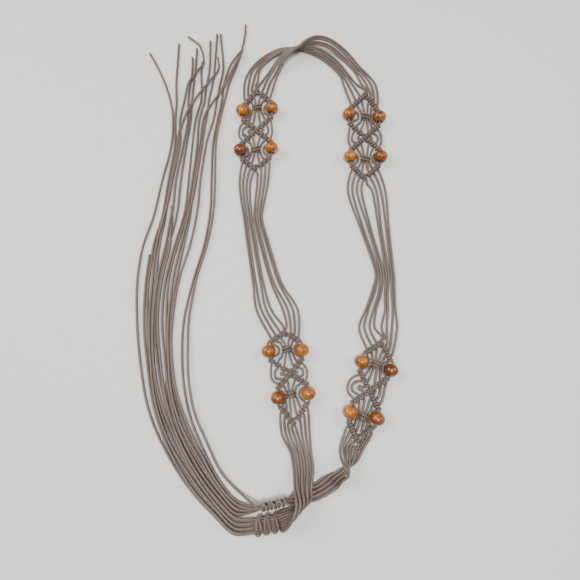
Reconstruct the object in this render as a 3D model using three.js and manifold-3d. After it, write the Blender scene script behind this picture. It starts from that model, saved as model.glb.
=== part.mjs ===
// Macrame belt: eight waxed cords knotted into four panels with sixteen wooden beads, lying on a flat surface.
// Millimetres, +Z up. The band runs from one fringe up the left side, over an arch and down the right side.
import * as THREE from 'three';
import { mergeVertices } from 'three/addons/utils/BufferGeometryUtils.js';
import Module from 'manifold-3d';

const wasm = await Module();
wasm.setup();

// Driving sizes
const CORD_COUNT = 8;
const CORD_DIAMETER = 2;
const BEAD_DIAMETER = 10;
const BEAD_LENGTH = 9.2;
const BEAD_HOLE = 3.4;
const RIDGE_DIAMETER = 4.6;
const SINNET_LENGTH = 16.5;
const SINNET_WIDTH = 14.4;
const SINNET_THICKNESS = 5.2;
const SINNET_PITCH = 1.9;
const PLATE = 2.4;
const LOOP_REACH = 14.2;
const GAP = 0.3;

// Fineness of the faceted solids
const RIDGE_SIDES = 6;
const BEAD_SIDES = 10;

const CORD_REST = 1.16;
const RIDGE_RADIUS = RIDGE_DIAMETER / 2;
const RIDGE_REST = 2.7;
const BEAD_RADIUS = BEAD_DIAMETER / 2;

// A cord's section, with the area of the round cord: flat sides that a neighbour can press on, and a crown
const SECTION = [[-0.93, -1], [0.93, -1], [0.93, 0.45], [0, 1.15], [-0.93, 0.45]];
const LEFT_CORNERS = [0, 4];
const RIGHT_CORNERS = [1, 2];

// Each panel lies between its top and tip, with beads at its upper left, upper right, lower left and lower right
const PANELS = [
  {
    name: 'a', top: [-26, 160.5], tip: [-26.5, 93.5],
    beads: [[-37.2, 141.4], [-14.1, 143.8], [-38.4, 108.4], [-14.1, 109.9]],
  },
  {
    name: 'b', top: [60.5, 158.5], tip: [57.5, 86],
    beads: [[46, 138.4], [69.8, 136], [46.1, 103], [69.8, 103]],
  },
  {
    name: 'c', top: [-3.2, -31], tip: [2.7, -95],
    beads: [[-15.2, -44.8], [8.6, -44], [-8.6, -77], [13, -74]],
  },
  {
    name: 'd', top: [65.8, -38.5], tip: [46.4, -105.5],
    beads: [[50.4, -52], [71, -58], [41.2, -86.5], [60.4, -91]],
  },
];
const BEAD_PLACES = ['upper_left', 'upper_right', 'lower_left', 'lower_right'];

// Cords 1 to 8 join a panel's V ridges at these distances across from its middle
const CORD_ACROSS = [-9.4, -6.6, -3.8, -1.2, 1.2, 3.8, 6.6, 9.4];

// Band sections: where cord 1 and cord 8 lie, the share of the width left open between cords 4 and 5,
// how far every second cord rides off its neighbours, and tie where the cords start to press on each other
const SPAN_A_C = [
  { one: [-38.7, 83, 1], eight: [-17, 83, 1], split: 0.12, stack: 0 },
  { one: [-35, 56, 1], eight: [-21.6, 56, 1], split: 0, stack: 0, tie: true },
  { one: [-34.2, 51, 1], eight: [-20.8, 51, 1], split: 0, stack: 0 },
  { one: [-32.4, 37, 1], eight: [-16.2, 37, 1], split: 0, stack: 0.4 },
  { one: [-26.6, 5, 1], eight: [-3, 5, 1], split: 0.1, stack: 0 },
  { one: [-22.8, -14, 1], eight: [5, -14, 1], split: 0.16, stack: 0 },
];
const ARCH_A_B = [
  { one: [-35, 169, 1], eight: [-10.5, 170, 1], split: 0.1, stack: 0 },
  { one: [-30.5, 181, 1], eight: [-8.5, 177, 2], split: 0.1, stack: 0 },
  { one: [-20.5, 191.5, 1.25], eight: [-5, 183, 6], split: 0.1, stack: 0 },
  { one: [-8, 198.5, 1.25], eight: [1, 188.5, 10.5], split: 0, stack: 0 },
  { one: [3.5, 199, 1.25], eight: [7.5, 192.5, 12.5], split: 0, stack: 0, tie: true },
  { one: [9.5, 197, 1.25], eight: [11, 195.5, 14.2], split: 0, stack: 0 },
  { one: [19, 193.5, 1.25], eight: [18, 202, 14], split: 0, stack: 0 },
  { one: [28, 187.5, 1.25], eight: [29, 202.5, 8.5], split: 0.1, stack: 0 },
  { one: [34.5, 181, 1.25], eight: [42, 197, 4], split: 0.1, stack: 0 },
  { one: [40, 172.5, 1], eight: [54.5, 184.5, 1], split: 0.14, stack: 0 },
];
const SPAN_B_D = [
  { one: [44.2, 78, 1], eight: [72.6, 78, 1], split: 0.14, stack: 0 },
  { one: [53, 46, 1], eight: [74.8, 46, 1], split: 0.1, stack: 0 },
  { one: [62.8, 15, 1], eight: [76.2, 15, 1], split: 0, stack: 0, tie: true },
  { one: [63, 9, 1], eight: [76.4, 9, 1], split: 0, stack: 0 },
  { one: [59, -4, 1], eight: [77, -4, 1], split: 0, stack: 0 },
  { one: [53.5, -18, 1], eight: [77, -18, 1], split: 0.12, stack: 0 },
];
const END_C = [
  { one: [-5.5, -102, 1], eight: [13.6, -101, 1], split: 0, stack: 0 },
  { one: [0.4, -114, 1.5], eight: [14.6, -114, 1.5], split: 0, stack: 0.4 },
  { one: [2.4, -125, 3.2], eight: [15.8, -125, 3.2], split: 0, stack: 0.8 },
  { one: [3.2, -136, 8.6], eight: [15.2, -136, 5.6], split: 0, stack: 1.7 },
  { one: [4.8, -144.5, 13.8], eight: [14, -145.5, 6], split: 0, stack: 1.7 },
  { one: [3, -150.5, 15], eight: [9.5, -153.6, 2.4], split: 0, stack: 0.8 },
  { one: [-0.4, -157, 14], eight: [2.6, -156.4, 1], split: 0, stack: 0 },
  { one: [-3, -163.4, 10.6], eight: [-2.2, -154.2, 1.2], split: 0, stack: 0 },
];
const END_D = [
  { one: [34.6, -110.2, 2.4], eight: [50.4, -111.2, 1], split: 0, stack: 0.4 },
  { one: [34.6, -117, 8], eight: [44.8, -119, 1], split: 0, stack: 1.9 },
  { one: [36.8, -121.8, 12.4], eight: [38.8, -122.2, 1], split: 0, stack: 1.9 },
  { one: [38.6, -126.5, 10.4], eight: [30.6, -126, 1], split: 0, stack: 1.9 },
  { one: [36, -131.5, 6.6], eight: [26.4, -127.8, 1], split: 0, stack: 1.9 },
  { one: [33, -136.6, 2.4], eight: [23, -129.9, 1], split: 0, stack: 1.9 },
  { one: [26, -142.4, 1], eight: [17.5, -133.6, 1], split: 0, stack: 1.9 },
  { one: [16.5, -146.4, 1], eight: [12, -134.8, 1], split: 0, stack: 1.9 },
  { one: [8.8, -146.6, 1.2], eight: [7.4, -135.4, 1], split: 0, stack: 1.9 },
  { one: [4.4, -144.8, 7.4], eight: [4, -137.4, 1.1], split: 0, stack: 1.7 },
];

// A sinnet runs from start to end, with cord 1 on one edge and cord 8 on the other
const SINNETS = {
  lower: { start: [-7, -159.2, 2.7], end: [-23.5, -160.2, 2.7], one: [0, -1, 0] },
  upper: { start: [-2.6, -142.6, 7.9], end: [-19.1, -144.2, 7.9], one: [0, 0.18, 0.98] },
};

// The free tails run side by side up the left, between an outer and an inner edge
const TAIL_BED = [
  { outer: [-36.7, -162.2], inner: [-33.8, -139], stack: 1.9 },
  { outer: [-50.9, -153.4], inner: [-46.3, -126.5], stack: 1.9 },
  { outer: [-68.3, -136.4], inner: [-56.4, -107.5], stack: 1.9 },
  { outer: [-85.8, -112.2], inner: [-66.2, -86.6], stack: 1.9 },
  { outer: [-98.9, -86], inner: [-71.5, -64.8], stack: 1.7 },
  { outer: [-107.2, -52.3], inner: [-73, -40.3], stack: 1.2 },
  { outer: [-110.5, -22.4], inner: [-72.3, -20.9], stack: 0.6 },
  { outer: [-112.5, 6.4], inner: [-67.6, 8.6], stack: 0.4 },
  { outer: [-109.8, 32.1], inner: [-61.1, 35.2], stack: 0.4 },
  { outer: [-103.2, 56.3], inner: [-57.8, 62.6], stack: 0.6 },
  { outer: [-98.7, 85.1], inner: [-57.4, 89.2], stack: 1.2 },
  { outer: [-93.6, 112.3], inner: [-57, 116.5], stack: 1.5 },
  { outer: [-92.6, 135.2], inner: [-54.4, 136.9], stack: 0.8 },
];

// Each tail's share of the way across that bed where the bed starts, at its middle and where it ends,
// how many of the bed's rows it follows, and the points that lead it on to its tip
const TAILS_LOWER = [
  {
    low: 0, mid: 0, high: 0.02, rows: 13,
    tip: [[-94.6, 151, 1], [-99.6, 166.5, 1], [-106, 180.7, 1], [-113.6, 194.5, 1]],
  },
  { low: 0.07, mid: 0.17, high: 0.1, rows: 8, tip: [[-103.1, 26.8, 1]] },
  {
    low: 0.14, mid: 0.22, high: 0.08, rows: 13,
    tip: [[-90, 151, 1], [-91, 166.5, 1], [-90.6, 186.1, 1], [-90.4, 203.4, 1]],
  },
  {
    low: 0.2, mid: 0.27, high: 0.2, rows: 13,
    tip: [
      [-83.5, 153, 1.8], [-80.5, 166, 3.8], [-74, 176.5, 3.8], [-69.3, 184, 3.8], [-73, 200, 2.6],
      [-83.1, 209.8, 1],
    ],
  },
  { low: 0.27, mid: 0.32, high: 0.3, rows: 10, tip: [[-89.3, 64.2, 1]] },
  {
    low: 0.34, mid: 0.37, high: 0.27, rows: 13,
    tip: [[-80.6, 157, 1], [-79, 173.6, 1], [-78.6, 184.3, 1], [-79, 191, 1]],
  },
  {
    low: 0.4, mid: 0.42, high: 0.34, rows: 13,
    tip: [[-77.6, 156, 1], [-76.5, 172.5, 1], [-75.8, 187, 1], [-75.6, 199, 1]],
  },
  {
    low: 0.47, mid: 0.47, high: 0.42, rows: 13,
    tip: [[-74.6, 151, 4], [-66.1, 163, 4], [-57.4, 173.6, 4], [-55.9, 181.6, 4], [-57.8, 188.8, 4]],
  },
];
const TAILS_UPPER = [
  { low: 0.57, mid: 0.56, high: 0.5, rows: 5, tip: [[-86.6, -60.5, 1]] },
  {
    low: 0.63, mid: 0.61, high: 0.56, rows: 13,
    tip: [[-70.6, 152.4, 1], [-70.6, 163, 1], [-71.2, 178, 1], [-70.8, 187, 1]],
  },
  {
    low: 0.7, mid: 0.655, high: 0.62, rows: 13,
    tip: [[-68, 151, 1], [-66.9, 163.8, 1], [-64.7, 181, 1], [-64.9, 206.1, 1]],
  },
  {
    low: 0.76, mid: 0.7, high: 0.72, rows: 13,
    tip: [[-64.5, 152.4, 1], [-61.5, 170, 1], [-60.5, 187.9, 1], [-59.6, 212.1, 1]],
  },
  {
    low: 0.82, mid: 0.745, high: 0.8, rows: 13,
    tip: [[-60.8, 148, 3.7], [-53.4, 161.4, 3.8], [-48.5, 172, 3.8], [-44.5, 182, 3.8], [-39.6, 191.5, 3.8]],
  },
  {
    low: 0.88, mid: 0.79, high: 0.88, rows: 13,
    tip: [[-58.2, 152, 1], [-56, 166.5, 1], [-53.8, 180, 1], [-56.8, 212.1, 1]],
  },
  {
    low: 0.94, mid: 0.93, high: 0.94, rows: 13,
    tip: [[-54, 153, 1], [-52.5, 168, 1], [-47.4, 182.5, 3.4], [-38.1, 196.7, 3.4]],
  },
  {
    low: 1, mid: 0.985, high: 1, rows: 13,
    tip: [[-51.6, 153, 1], [-48.8, 166.5, 1], [-42.6, 184.3, 1], [-37.2, 207.7, 1], [-36.4, 220.9, 1]],
  },
];

function finish(color, roughness) {
  return new THREE.MeshStandardMaterial({ color, roughness, metalness: 0 });
}

// Closed three.js geometry as a solid that can be joined and cut
function solidOf(geometry) {
  const bare = geometry.clone();
  bare.deleteAttribute('normal');
  bare.deleteAttribute('uv');
  const merged = mergeVertices(bare, 1e-4);
  const vertProperties = new Float32Array(merged.attributes.position.array);
  const triVerts = new Uint32Array(merged.index.array);
  return new wasm.Manifold(new wasm.Mesh({ numProp: 3, vertProperties, triVerts }));
}

function meshOf(name, solid, material) {
  const data = solid.getMesh();
  const geometry = new THREE.BufferGeometry();
  geometry.setAttribute('position', new THREE.BufferAttribute(data.vertProperties, 3));
  geometry.setIndex(new THREE.BufferAttribute(data.triVerts, 1));
  geometry.computeVertexNormals();
  const mesh = new THREE.Mesh(geometry, material);
  mesh.name = name;
  return mesh;
}

function joined(solids) {
  return solids.reduce((whole, solid) => whole.add(solid));
}

// A bundle of cords as one closed surface. Each cord is a list of steps with a point, the direction of
// travel, and the direction of the next cord. Between the tie step and the step after it, a cord's side
// and its neighbour's are one.
function bundle(cords, tie) {
  const positions = [];
  const triangles = [];
  const corners = cords.map((steps) => steps.map(() => []));
  const place = (step, [x, y]) => {
    const up = new THREE.Vector3().crossVectors(step.travel, step.side);
    return step.point.clone().addScaledVector(step.side, x).addScaledVector(up, y);
  };
  const add = (point) => {
    positions.push(point.x, point.y, point.z);
    return positions.length / 3 - 1;
  };
  const tied = (step) => step === tie || step === tie + 1;
  cords.forEach((steps, cord) => {
    steps.forEach((step, row) => {
      SECTION.forEach((corner, number) => {
        const left = LEFT_CORNERS.indexOf(number);
        const right = RIGHT_CORNERS.indexOf(number);
        if (tied(row) && left >= 0 && cord > 0) {
          corners[cord][row][number] = corners[cord - 1][row][RIGHT_CORNERS[left]];
        } else if (tied(row) && right >= 0 && cord < cords.length - 1) {
          const next = place(cords[cord + 1][row], SECTION[LEFT_CORNERS[right]]);
          corners[cord][row][number] = add(place(step, corner).lerp(next, 0.5));
        } else {
          corners[cord][row][number] = add(place(step, corner));
        }
      });
    });
  });
  const last = SECTION.length - 1;
  corners.forEach((rows, cord) => {
    const face = (a, b, c) => triangles.push(a, b, c);
    for (let row = 0; row < rows.length - 1; row += 1) {
      for (let corner = 0; corner <= last; corner += 1) {
        const isLeft = corner === last;
        const isRight = corner === RIGHT_CORNERS[0];
        const shared = row === tie && ((isLeft && cord > 0) || (isRight && cord < corners.length - 1));
        if (!shared) {
          const next = corner === last ? 0 : corner + 1;
          face(rows[row][corner], rows[row][next], rows[row + 1][next]);
          face(rows[row][corner], rows[row + 1][next], rows[row + 1][corner]);
        }
      }
    }
    const [head, foot] = [rows[0], rows[rows.length - 1]];
    for (let corner = 1; corner < last; corner += 1) {
      face(head[0], head[corner + 1], head[corner]);
      face(foot[0], foot[corner], foot[corner + 1]);
    }
  });
  const geometry = new THREE.BufferGeometry();
  geometry.setAttribute('position', new THREE.Float32BufferAttribute(positions, 3));
  geometry.setIndex(triangles);
  return solidOf(geometry);
}

// The steps of a cord through points, given the direction of the next cord at each, with its first and
// last faces square to the pieces that it comes from and goes to
function stepsAlong(points, sides, first, last) {
  const lastIndex = points.length - 1;
  return points.map((point, index) => {
    const before = points[Math.max(0, index - 1)];
    const after = points[Math.min(lastIndex, index + 1)];
    const travel = after.clone().sub(before).normalize();
    if (index === 0 && first) {
      travel.copy(first);
    }
    if (index === lastIndex && last) {
      travel.copy(last);
    }
    const side = sides[index].clone().addScaledVector(travel, -sides[index].dot(travel)).normalize();
    return { point, travel, side };
  });
}

// Stands a shape that was made along +Y on the line from one point to another
function laid(geometry, from, to) {
  const direction = to.clone().sub(from).normalize();
  const turn = new THREE.Quaternion().setFromUnitVectors(new THREE.Vector3(0, 1, 0), direction);
  return geometry.applyQuaternion(turn).translate(from.x, from.y, from.z);
}

// A ridge of hitches along a line
function ridge(from, to) {
  const length = from.distanceTo(to);
  const profile = [
    new THREE.Vector2(0, 0),
    new THREE.Vector2(RIDGE_RADIUS, 0),
    new THREE.Vector2(RIDGE_RADIUS, length),
    new THREE.Vector2(0, length),
  ];
  return solidOf(laid(new THREE.LatheGeometry(profile, RIDGE_SIDES), from, to));
}

// A panel's own frame: u across to the right, v along from its top to its tip
function panelFrame(panel) {
  const top = new THREE.Vector2(...panel.top);
  const along = new THREE.Vector2(...panel.tip).sub(top);
  const length = along.length();
  along.normalize();
  const across = new THREE.Vector2(-along.y, along.x);
  const at = (u, v, z) => new THREE.Vector3(
    top.x + across.x * u + along.x * v,
    top.y + across.y * u + along.y * v,
    z,
  );
  const beads = panel.beads.map((place) => {
    const offset = new THREE.Vector2(...place).sub(top);
    return { u: offset.dot(across), v: offset.dot(along) };
  });
  return {
    at,
    length,
    along: new THREE.Vector3(along.x, along.y, 0),
    across: new THREE.Vector3(across.x, across.y, 0),
    beads,
  };
}

// Where the ridges of a panel start and end on each side, from its beads
const LEG_CLEARANCE = 7.7;
const DIAGONAL_CLEARANCE = 6.6;
function ridgeEnds(frame, side) {
  const upper = frame.beads[side < 0 ? 0 : 1];
  const lower = frame.beads[side < 0 ? 2 : 3];
  return {
    topLeg: { u: upper.u - side * 1.6, v: upper.v - LEG_CLEARANCE },
    upper: { u: upper.u - side * 0.4, v: upper.v + DIAGONAL_CLEARANCE },
    lower: { u: lower.u - side * 0.4, v: lower.v - DIAGONAL_CLEARANCE },
    tipLeg: { u: lower.u - side * 1.6, v: lower.v + LEG_CLEARANCE },
  };
}

function between(a, b, share) {
  return { u: a.u + (b.u - a.u) * share, v: a.v + (b.v - a.v) * share };
}

function panelKeys(frame) {
  return {
    top: { u: 0, v: 0 },
    middle: { u: 0, v: 0.485 * frame.length },
    tip: { u: 0, v: frame.length },
    left: ridgeEnds(frame, -1),
    right: ridgeEnds(frame, 1),
  };
}

function ridges(frame, keys) {
  const point = (key) => frame.at(key.u, key.v, RIDGE_REST);
  return [
    ridge(point(keys.left.topLeg), point(keys.top)),
    ridge(point(keys.top), point(keys.right.topLeg)),
    ridge(point(keys.right.upper), point(keys.left.lower)),
    ridge(point(keys.left.upper), point(keys.right.lower)),
    ridge(point(keys.left.tipLeg), point(keys.tip)),
    ridge(point(keys.tip), point(keys.right.tipLeg)),
  ];
}

// The square knot in the middle of the panel, level with a pair of beads
function centreKnot(frame, leftBead, rightBead) {
  const middle = between(leftBead, rightBead, 0.5);
  const place = frame.at(0, middle.v, RIDGE_REST);
  const knot = new THREE.SphereGeometry(1, 6, 4);
  knot.scale(4.2, 4, 2.4);
  knot.translate(place.x, place.y, place.z);
  return solidOf(knot);
}

// The cord that carries a bead, from the ridge before it to the ridge after it
function beadCord(frame, from, bead, to) {
  const way = Math.sign(to.v - from.v);
  const lean = BEAD_LENGTH / 2 + GAP;
  const points = [
    frame.at(from.u, from.v, RIDGE_REST),
    frame.at(bead.u, bead.v - way * lean, BEAD_RADIUS),
    frame.at(bead.u, bead.v + way * lean, BEAD_RADIUS),
    frame.at(to.u, to.v, RIDGE_REST),
  ];
  return bundle([stepsAlong(points, points.map(() => frame.across))], 0);
}

// One side of a panel's outline, from its top to its tip, as distances outwards and along
function sideOutline(frame, keys, side) {
  const ends = side < 0 ? keys.left : keys.right;
  const upper = frame.beads[side < 0 ? 0 : 1];
  const lower = frame.beads[side < 0 ? 2 : 3];
  const inside = BEAD_RADIUS - 0.2;
  const out = (key, more, v) => ({ u: key.u + side * more, v });
  return [
    out(ends.topLeg, 0.6, ends.topLeg.v - 0.6),
    out(upper, -inside, upper.v - 4),
    out(upper, -inside, upper.v + 3),
    out(ends.upper, 0.3, ends.upper.v + 1.2),
    { u: side * LOOP_REACH, v: ends.upper.v + 0.3 * (ends.lower.v - ends.upper.v) },
    { u: side * LOOP_REACH, v: ends.upper.v + 0.7 * (ends.lower.v - ends.upper.v) },
    out(ends.lower, 0.3, ends.lower.v - 1.2),
    out(lower, -inside, lower.v - 3),
    out(lower, -inside, lower.v + 4),
    out(ends.tipLeg, 0.6, ends.tipLeg.v + 0.6),
  ];
}

// Gaps between the cords on one side: between the bead's neighbour and the knot, above and below,
// and between the three loops beside the crossing
function sideGaps(frame, keys, side) {
  const ends = side < 0 ? keys.left : keys.right;
  const upper = frame.beads[side < 0 ? 0 : 1];
  const lower = frame.beads[side < 0 ? 2 : 3];
  const rise = (ends.lower.v - ends.upper.v) / 2;
  const middle = (ends.lower.v + ends.upper.v) / 2;
  const crescent = (reach, share) => [
    { u: side * (reach - 2.6), v: middle - share * rise },
    { u: side * reach, v: middle - 0.4 * share * rise },
    { u: side * reach, v: middle + 0.4 * share * rise },
    { u: side * (reach - 2.6), v: middle + share * rise },
    { u: side * (reach - 1.2), v: middle },
  ];
  const byKnot = (bead, way) => [
    { u: side * 1.6, v: bead.v + way * 4.8 },
    { u: side * 4, v: bead.v + way * 3 },
    { u: side * 4.4, v: bead.v + way * 5 },
  ];
  return [
    crescent(LOOP_REACH - 2.1, 0.66),
    crescent(LOOP_REACH - 5.4, 0.44),
    byKnot(upper, 1),
    byKnot(upper, -1),
    byKnot(lower, 1),
    byKnot(lower, -1),
  ];
}

// A closed path through keys, as the panel is seen from above with its top up
function pathThrough(path, keys) {
  path.moveTo(keys[0].u, -keys[0].v);
  keys.slice(1).forEach((key) => path.lineTo(key.u, -key.v));
  path.closePath();
  return path;
}

// The flat net of cords that the ridges, knots and bead cords stand on
function netSolid(panel, frame, keys) {
  const top = { u: 0, v: keys.top.v - 2 };
  const tip = { u: 0, v: keys.tip.v + 2 };
  const left = sideOutline(frame, keys, -1);
  const right = sideOutline(frame, keys, 1).reverse();
  const outline = pathThrough(new THREE.Shape(), [top, ...left, tip, ...right]);
  for (const side of [-1, 1]) {
    for (const gap of sideGaps(frame, keys, side)) {
      outline.holes.push(pathThrough(new THREE.Path(), gap));
    }
  }
  const net = new THREE.ExtrudeGeometry(outline, { depth: PLATE, bevelEnabled: false });
  const turn = Math.atan2(panel.tip[1] - panel.top[1], panel.tip[0] - panel.top[0]) + Math.PI / 2;
  return solidOf(net.rotateZ(turn).translate(panel.top[0], panel.top[1], 0));
}

function panelSolid(panel, frame, keys) {
  const [upperLeft, upperRight, lowerLeft, lowerRight] = frame.beads;
  const { left, right } = keys;
  return joined([
    netSolid(panel, frame, keys),
    ...ridges(frame, keys),
    centreKnot(frame, upperLeft, upperRight),
    centreKnot(frame, lowerLeft, lowerRight),
    beadCord(frame, left.topLeg, upperLeft, left.upper),
    beadCord(frame, right.topLeg, upperRight, right.upper),
    beadCord(frame, left.lower, lowerLeft, left.tipLeg),
    beadCord(frame, right.lower, lowerRight, right.tipLeg),
  ]);
}

// A round bead with a drilled hole, its axis along +Y
function beadGeometry() {
  const hole = BEAD_HOLE / 2;
  const half = BEAD_LENGTH / 2;
  const shoulder = 0.8 * BEAD_RADIUS;
  const profile = [
    new THREE.Vector2(hole, -half),
    new THREE.Vector2(shoulder, -0.72 * half),
    new THREE.Vector2(BEAD_RADIUS, -0.26 * half),
    new THREE.Vector2(BEAD_RADIUS, 0.26 * half),
    new THREE.Vector2(shoulder, 0.72 * half),
    new THREE.Vector2(hole, half),
    new THREE.Vector2(hole, -half),
  ];
  return new THREE.LatheGeometry(profile, BEAD_SIDES);
}

function beadSolid(frame, bead) {
  const centre = frame.at(bead.u, bead.v, BEAD_RADIUS);
  return solidOf(laid(beadGeometry(), centre, centre.clone().add(frame.along)));
}

// Cord by cord across each band section, the lower layer of a stack at the section's own height
function sectionPoints(sections, index) {
  const vector = (place) => new THREE.Vector3(...place);
  const centre = (section) => vector(section.one).lerp(vector(section.eight), 0.5);
  return sections.map((section, row) => {
    const before = sections[Math.max(0, row - 1)];
    const after = sections[Math.min(sections.length - 1, row + 1)];
    const travel = centre(after).sub(centre(before)).normalize();
    const even = (index / (CORD_COUNT - 1)) * (1 - section.split);
    const share = index < CORD_COUNT / 2 ? even : even + section.split;
    const point = vector(section.one).lerp(vector(section.eight), share);
    const across = vector(section.eight).sub(vector(section.one));
    const off = new THREE.Vector3().crossVectors(travel, across).normalize();
    point.z += CORD_REST - 1 + Math.max(0, -off.z) * section.stack;
    return point.addScaledVector(off, (index % 2) * section.stack);
  });
}

// Where a cord comes out of the V of a panel, square to the ridge there
function panelMeet(frame, keys, index, atTip) {
  const u = CORD_ACROSS[index];
  const side = u < 0 ? keys.left : keys.right;
  const leg = atTip ? side.tipLeg : side.topLeg;
  const peak = atTip ? keys.tip : keys.top;
  const on = frame.at(u, peak.v + ((leg.v - peak.v) * u) / leg.u, RIDGE_REST);
  const line = frame.at(leg.u, leg.v, RIDGE_REST).sub(frame.at(peak.u, peak.v, RIDGE_REST)).normalize();
  const out = frame.along.clone().multiplyScalar(atTip ? 1 : -1);
  out.addScaledVector(line, -out.dot(line)).normalize();
  return { points: [on.addScaledVector(out, RIDGE_RADIUS + GAP)], out };
}

// Where a cord comes straight out of a sinnet
function sinnetMeet(sinnet, index, atEnd) {
  const one = new THREE.Vector3(...sinnet.one).normalize();
  const out = sinnetDirection(sinnet).multiplyScalar(atEnd ? 1 : -1);
  const offset = ((CORD_COUNT - 1) / 2 - index) * SINNET_PITCH;
  const head = new THREE.Vector3(...(atEnd ? sinnet.end : sinnet.start)).addScaledVector(one, offset);
  return { points: [head.clone().addScaledVector(out, 2 * GAP), head.addScaledVector(out, 2.2)], out };
}

function sinnetDirection(sinnet) {
  return new THREE.Vector3(...sinnet.end).sub(new THREE.Vector3(...sinnet.start)).normalize();
}

// A span of eight cords between the places where they come out of the pieces at its ends
function spanSolid(sections, startMeet, endMeet) {
  const ordinals = CORD_ACROSS.map((across, index) => index);
  const starts = ordinals.map(startMeet);
  const ends = ordinals.map(endMeet);
  const lines = ordinals.map((index) => [
    ...starts[index].points,
    ...sectionPoints(sections, index),
    ...ends[index].points.reverse(),
  ]);
  const last = lines[CORD_COUNT - 1];
  const sides = lines[0].map((point, row) => last[row].clone().sub(point));
  const tieSection = sections.findIndex((section) => section.tie);
  const tie = tieSection < 0 ? last.length - 2 : tieSection + starts[0].points.length;
  const cords = lines.map((points, index) => {
    const arrival = ends[index].out.clone().negate();
    return stepsAlong(points, sides, starts[index].out, arrival);
  });
  return bundle(cords, tie);
}

// A short flat bar of square knots, with a small loop of cord at both ends of each
function sinnetSolid(sinnet) {
  const start = new THREE.Vector3(...sinnet.start);
  const direction = sinnetDirection(sinnet);
  const one = new THREE.Vector3(...sinnet.one);
  one.addScaledVector(direction, -one.dot(direction)).normalize();
  const up = new THREE.Vector3().crossVectors(direction, one);
  const basis = new THREE.Matrix4().makeBasis(direction, one, up).setPosition(start);
  const knots = 3;
  const pitch = SINNET_LENGTH / knots;
  const half = SINNET_WIDTH / 2;
  const edge = [];
  for (let knot = 0; knot < knots; knot += 1) {
    edge.push([knot * pitch, half - 1.1], [(knot + 0.3) * pitch, half], [(knot + 0.7) * pitch, half]);
  }
  edge.push([SINNET_LENGTH, half - 1.1]);
  const outline = new THREE.Shape();
  outline.moveTo(edge[0][0], -edge[0][1]);
  edge.slice(1).forEach(([x, y]) => outline.lineTo(x, -y));
  edge.reverse().forEach(([x, y]) => outline.lineTo(x, y));
  outline.closePath();
  const bevel = 1;
  const depth = SINNET_THICKNESS - 2 * bevel;
  const bar = new THREE.ExtrudeGeometry(outline, {
    depth, bevelSize: bevel, bevelOffset: -bevel, bevelThickness: bevel, bevelSegments: 1,
  });
  return solidOf(bar.translate(0, 0, -depth / 2).applyMatrix4(basis));
}

// One tail's steps, from its sinnet along the bed and on to its tip
function tailSteps(sinnet, tail, index, reversed) {
  const middleRow = 7;
  const lastRow = TAIL_BED.length - 1;
  const order = reversed ? CORD_COUNT - 1 - index : index;
  const { points, out } = sinnetMeet(sinnet, order, true);
  TAIL_BED.slice(0, tail.rows).forEach((row, place) => {
    const share = place < middleRow
      ? tail.low + ((tail.mid - tail.low) * place) / middleRow
      : tail.mid + ((tail.high - tail.mid) * (place - middleRow)) / (lastRow - middleRow);
    const outer = new THREE.Vector2(...row.outer);
    const spot = outer.lerp(new THREE.Vector2(...row.inner), share);
    points.push(new THREE.Vector3(spot.x, spot.y, CORD_REST + (index % 2) * row.stack));
  });
  for (const [x, y, z] of tail.tip) {
    points.push(new THREE.Vector3(x, y, z + CORD_REST - 1));
  }
  const headSide = new THREE.Vector3(...sinnet.one).multiplyScalar(reversed ? -1 : 1);
  const level = new THREE.Vector3(0, 0, 1);
  const sides = points.map((point, row) => {
    const ahead = points[Math.min(points.length - 1, row + 1)];
    const behind = points[Math.max(0, row - 1)];
    const flat = new THREE.Vector3().crossVectors(level, ahead.clone().sub(behind)).normalize();
    return row < 2 ? headSide : flat;
  });
  return stepsAlong(points, sides, out);
}

// The innermost tail comes first, so that the crowns of the cords face up
function fringeSolid(sinnet, tails, reversed) {
  const cords = tails.map((tail, index) => tailSteps(sinnet, tail, index, reversed)).reverse();
  return bundle(cords, 0);
}

const belt = new THREE.Group();
const frames = PANELS.map(panelFrame);
const keys = frames.map(panelKeys);
const meetPanel = (panel, atTip) => (index) => panelMeet(frames[panel], keys[panel], index, atTip);
const meetSinnet = (sinnet) => (index) => sinnetMeet(sinnet, index, false);

PANELS.forEach((panel, index) => {
  const cordFinish = finish(0x8f7767, 0.6);
  const solid = panelSolid(panel, frames[index], keys[index]);
  belt.add(meshOf(`panel_${panel.name}`, solid, cordFinish));
  frames[index].beads.forEach((bead, place) => {
    const name = `bead_${panel.name}_${BEAD_PLACES[place]}`;
    belt.add(meshOf(name, beadSolid(frames[index], bead), finish(0xa4591c, 0.25)));
  });
});

const [A, B, C, D] = [0, 1, 2, 3];
const spans = [
  ['span_a_c', spanSolid(SPAN_A_C, meetPanel(A, true), meetPanel(C, false))],
  ['arch_a_b', spanSolid(ARCH_A_B, meetPanel(A, false), meetPanel(B, false))],
  ['span_b_d', spanSolid(SPAN_B_D, meetPanel(B, true), meetPanel(D, false))],
  ['end_c', spanSolid(END_C, meetPanel(C, true), meetSinnet(SINNETS.lower))],
  ['end_d', spanSolid(END_D, meetPanel(D, true), meetSinnet(SINNETS.upper))],
  ['sinnet_lower', sinnetSolid(SINNETS.lower)],
  ['sinnet_upper', sinnetSolid(SINNETS.upper)],
  ['fringe_lower', fringeSolid(SINNETS.lower, TAILS_LOWER, false)],
  ['fringe_upper', fringeSolid(SINNETS.upper, TAILS_UPPER, true)],
];
for (const [name, solid] of spans) {
  belt.add(meshOf(name, solid, finish(0x8f7767, 0.6)));
}

// The belt stands with the middle of its footprint at the origin
const box = new THREE.Box3().setFromObject(belt);
const middle = box.getCenter(new THREE.Vector3());
belt.position.set(-middle.x, -middle.y, -box.min.z);

export default belt;
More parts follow.
